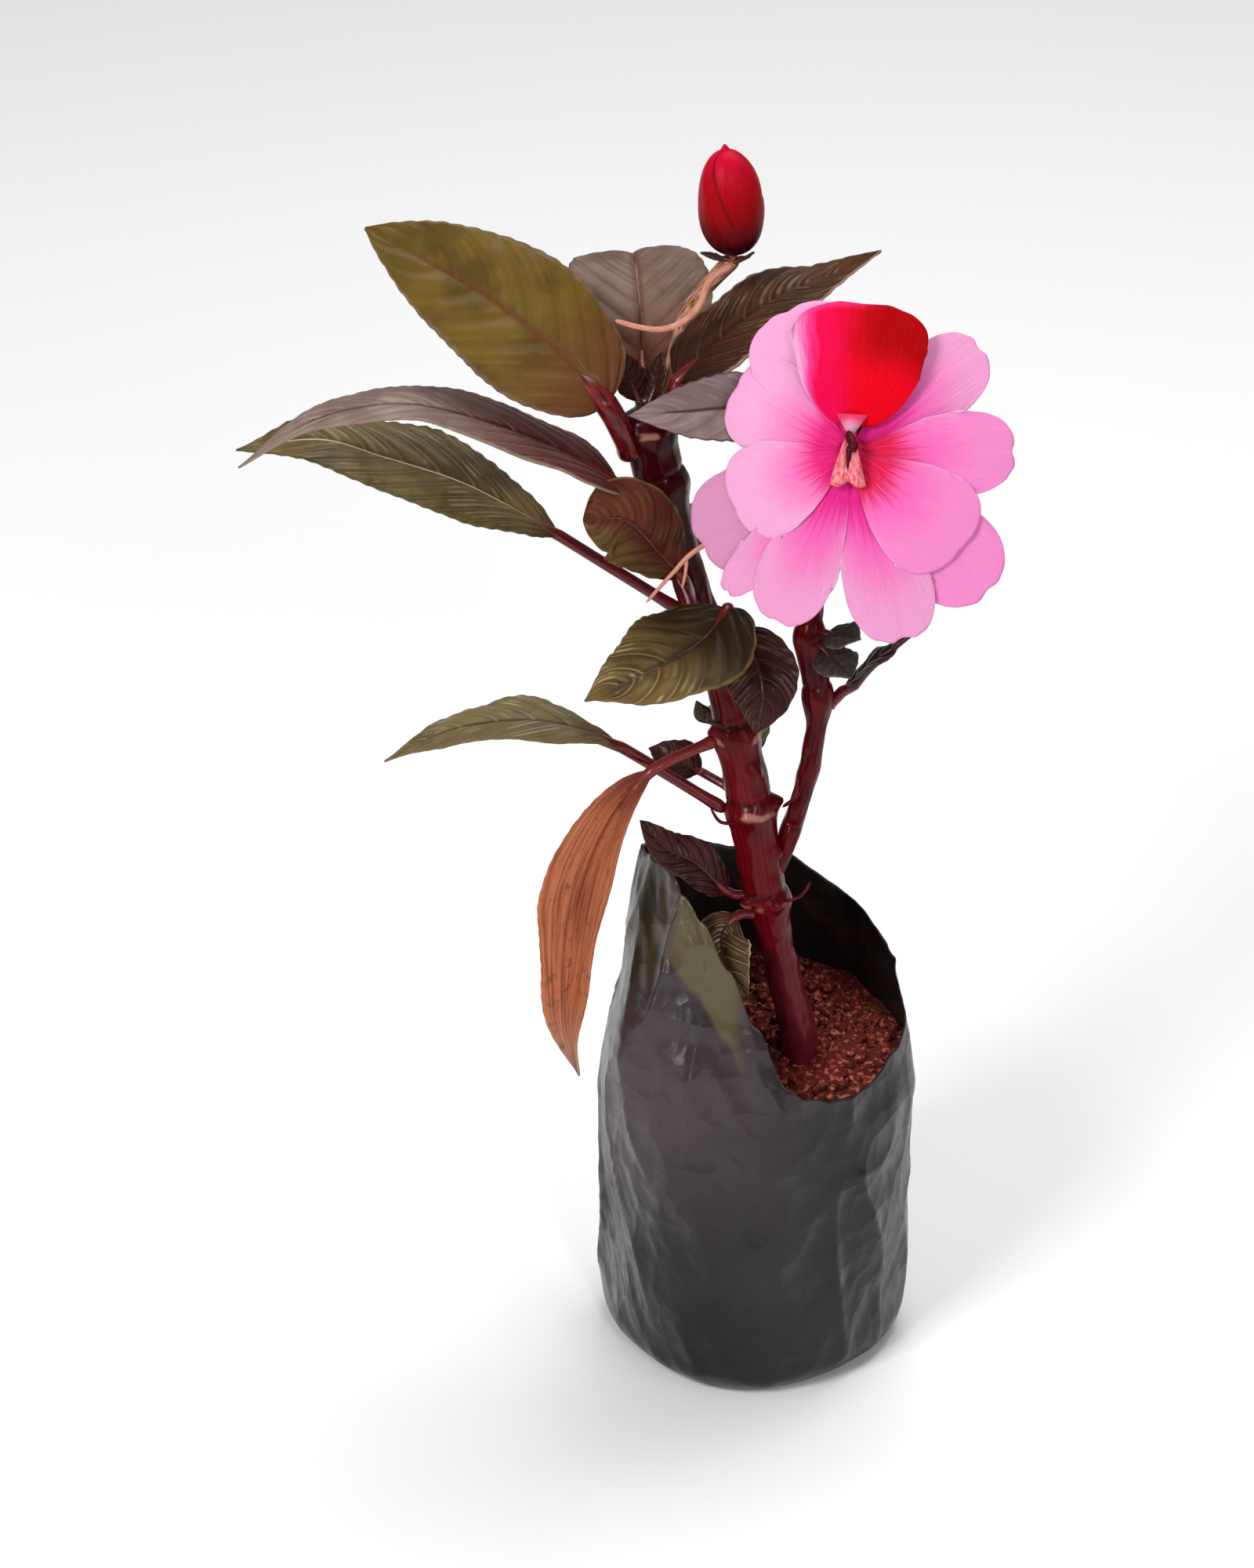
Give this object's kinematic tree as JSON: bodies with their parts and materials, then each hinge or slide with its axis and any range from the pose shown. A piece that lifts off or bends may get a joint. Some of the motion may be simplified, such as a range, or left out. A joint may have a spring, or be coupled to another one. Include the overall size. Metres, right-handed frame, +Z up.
{
  "type": "potted busy lizzie",
  "caption": "Young New Guinea busy lizzie with bronze leaves, an open pink and red flower and a bud, rooted in red soil in a slanted black nursery bag.",
  "frame": {"origin": "middle of the bag's flat base, where it stands on the ground", "axes": "+Z up; +X to the right of the front view and -X the way the long leaves reach; -Y towards the viewer, the way the open flower faces"},
  "size_m": [0.1461, 0.0874, 0.2558],
  "materials": {
    "film": "thin black nursery film, crumpled and dusty",
    "soil": "moist red crumbly potting soil",
    "stem": "smooth fleshy crimson stem, glossy",
    "leaf": "bronze green leaf with a satin skin and a red underside",
    "withered_leaf": "dry orange brown leaf",
    "pink_petal": "velvety pink petal, magenta at its foot",
    "red_petal": "velvety red petal",
    "column": "pale salmon stamen cap",
    "stalk": "pale pink flower stalk and spur",
    "bud": "crimson bud, satin"
  },
  "bodies": {
    "root": {"bag": "film", "bud": "bud", "bud_stalk": "stalk", "flower_column": "column", "flower_petals": "pink_petal", "flower_red_petal": "red_petal", "flower_stalk": "stalk", "leaf_axil": "leaf", "leaf_back_left": "leaf", "leaf_back_mid": "leaf", "leaf_back_right": "leaf", "leaf_base_front": "leaf", "leaf_base_left": "leaf", "leaf_front_spoon": "leaf", "leaf_inner_left": "leaf", "leaf_low_left": "leaf", "leaf_lower_left": "leaf", "leaf_mid_front": "leaf", "leaf_mid_left": "leaf", "leaf_rear_lower": "leaf", "leaf_rear_upper": "leaf", "leaf_side_right": "leaf", "leaf_top_back": "leaf", "leaf_top_left": "leaf", "leaf_top_right": "leaf", "leaf_upper_left": "leaf", "leaf_withered": "withered_leaf", "soil": "soil", "stems": "stem"}
  },
  "joints": []
}
